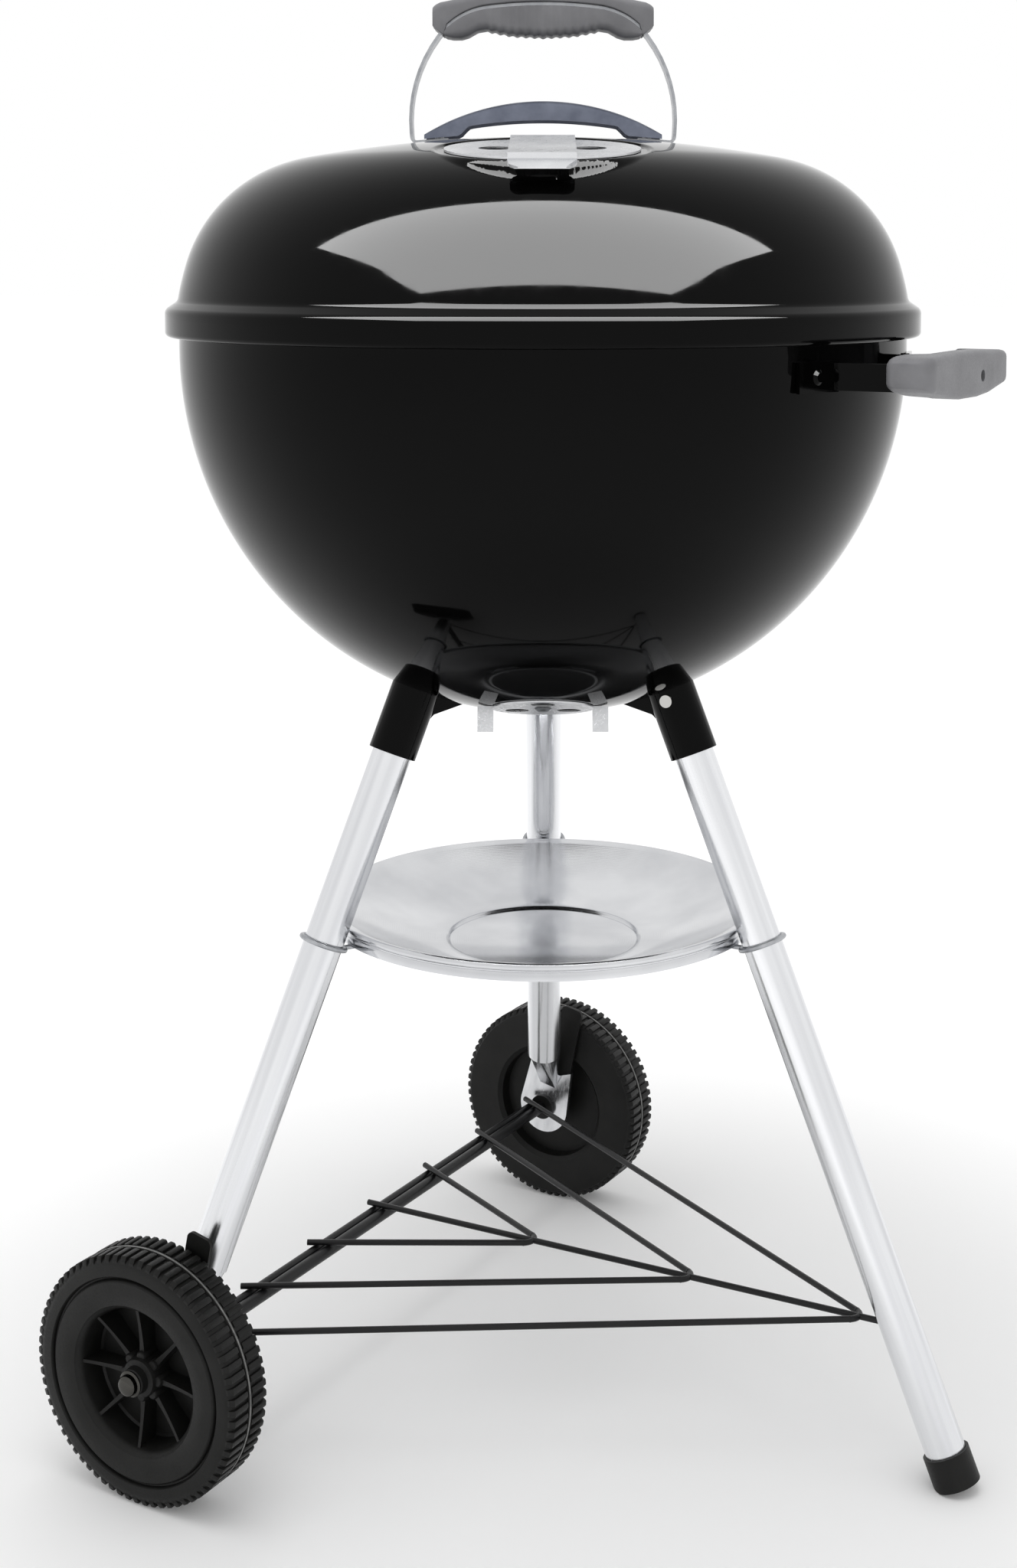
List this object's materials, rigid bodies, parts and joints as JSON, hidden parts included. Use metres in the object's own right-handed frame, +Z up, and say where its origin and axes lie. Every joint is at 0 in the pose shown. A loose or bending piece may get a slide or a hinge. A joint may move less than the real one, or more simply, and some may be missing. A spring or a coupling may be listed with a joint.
{
  "type": "kettle charcoal grill",
  "caption": "Round lidded kettle grill on three splayed tube legs, with two wheels, an ash pan, a wire rack, turning vents and lift-out grates.",
  "frame": {"origin": "on the floor, under the middle of the box round the whole grill", "axes": "+Z up, +X towards the leg with the foot and the side handle, the two wheels on the -X side with their axle along Y"},
  "size_m": [0.5511, 0.5492, 0.9223],
  "materials": {
    "enamel": "gloss",
    "nylon": "matte",
    "aluminium": "satin",
    "moulded": "satin",
    "coated_wire": "satin",
    "plating": "polished",
    "steel": "satin",
    "tinted_steel": "satin"
  },
  "bodies": {
    "frame": {"bowl": "enamel", "leg_sockets": "enamel", "socket_buttons": "plating", "front_leg": "aluminium", "left_leg": "aluminium", "right_leg": "aluminium", "foot_cap": "moulded", "axle": "coated_wire", "axle_bushes": "moulded", "axle_caps": "plating", "wire_rack": "coated_wire", "rack_base_wire": "coated_wire", "ash_pan": "aluminium", "ash_pan_clips": "steel", "side_bracket": "enamel", "side_grip": "nylon", "side_bracket_rivets": "enamel", "side_grip_screw": "coated_wire", "cook_grate_tabs": "enamel", "coal_grate_tabs": "enamel", "damper_rivets": "steel"},
    "left_wheel": {"left_wheel": "moulded"},
    "right_wheel": {"right_wheel": "moulded"},
    "coal_grate": {"coal_grate": "steel"},
    "cook_grate": {"cook_grate": "plating"},
    "front_damper": {"front_damper": "steel"},
    "rear_damper": {"rear_damper": "steel"},
    "side_damper": {"side_damper": "steel"},
    "lid": {"lid": "enamel", "lid_slide_rivet": "steel", "lid_strap": "steel", "lid_grip_top": "nylon", "lid_grip_bottom": "nylon", "lid_heat_shield": "tinted_steel", "lid_bolts": "steel"},
    "lid_slide": {"lid_slide": "aluminium", "lid_slide_bridge": "aluminium"}
  },
  "joints": [
    {"name": "left_wheel_spin", "type": "hinge", "parent": "frame", "child": "left_wheel", "pos_m": [-0.16313, -0.25, 0.077], "axis": [0, 1, 0], "continuous": true},
    {"name": "right_wheel_spin", "type": "hinge", "parent": "frame", "child": "right_wheel", "pos_m": [-0.16313, 0.25, 0.077], "axis": [0, 1, 0], "continuous": true},
    {"name": "coal_grate_lift", "type": "slide", "parent": "frame", "child": "coal_grate", "axis": [0, 0, 1], "range_m": [0, 0.07]},
    {"name": "cook_grate_lift", "type": "slide", "parent": "frame", "child": "cook_grate", "axis": [0, 0, 1], "range_m": [0, 0.04]},
    {"name": "front_damper_turn", "type": "hinge", "parent": "frame", "child": "front_damper", "pos_m": [0.00568, -0.06495, 0.4685], "axis": [0.162, -0.2806, -0.9461], "range_deg": [0, 60]},
    {"name": "rear_damper_turn", "type": "hinge", "parent": "frame", "child": "rear_damper", "pos_m": [0.00568, 0.06495, 0.4685], "axis": [0.162, 0.2806, -0.9461], "range_deg": [0, 60]},
    {"name": "side_damper_turn", "type": "hinge", "parent": "frame", "child": "side_damper", "pos_m": [-0.10681, 0, 0.4685], "axis": [-0.324, 0, -0.9461], "range_deg": [0, 60]},
    {"name": "lid_lift", "type": "slide", "parent": "frame", "child": "lid", "axis": [0, 0, 1], "range_m": [0, 0.3]},
    {"name": "lid_slide_turn", "type": "hinge", "parent": "lid", "child": "lid_slide", "pos_m": [0.03569, -0.11691, 0.81532], "axis": [0.0713, -0.1235, 0.9898], "range_deg": [-45, 45]}
  ]
}
